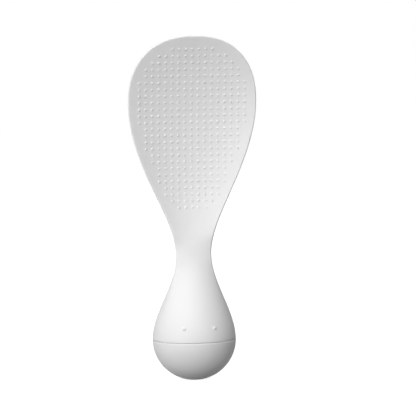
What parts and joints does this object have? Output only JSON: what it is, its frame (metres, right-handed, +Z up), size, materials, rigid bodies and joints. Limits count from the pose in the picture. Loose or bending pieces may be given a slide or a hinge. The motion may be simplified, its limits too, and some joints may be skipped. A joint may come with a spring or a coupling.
{
  "type": "rice paddle",
  "caption": "White rice paddle that stands by itself: a curved scoop with a field of small raised bumps, a flat neck, and a weighted round bulb on a small flat foot.",
  "frame": {"origin": "Centre of the flat foot, at the middle of the bottom of the bounding box.", "axes": "+Z up, from the foot to the tip of the blade. -Y is the front, the way the scoop opens. +X is to the right of someone who looks at the front from -Y."},
  "size_m": [0.0742, 0.0486, 0.2],
  "materials": {
    "body_plastic": "satin",
    "cap_plastic": "satin",
    "ballast_metal": "matte",
    "seal_rubber": "matte"
  },
  "bodies": {
    "root": {"paddle_body": "body_plastic", "base_cap": "cap_plastic", "ballast_weight": "ballast_metal", "seal_ring": "seal_rubber"}
  },
  "joints": []
}
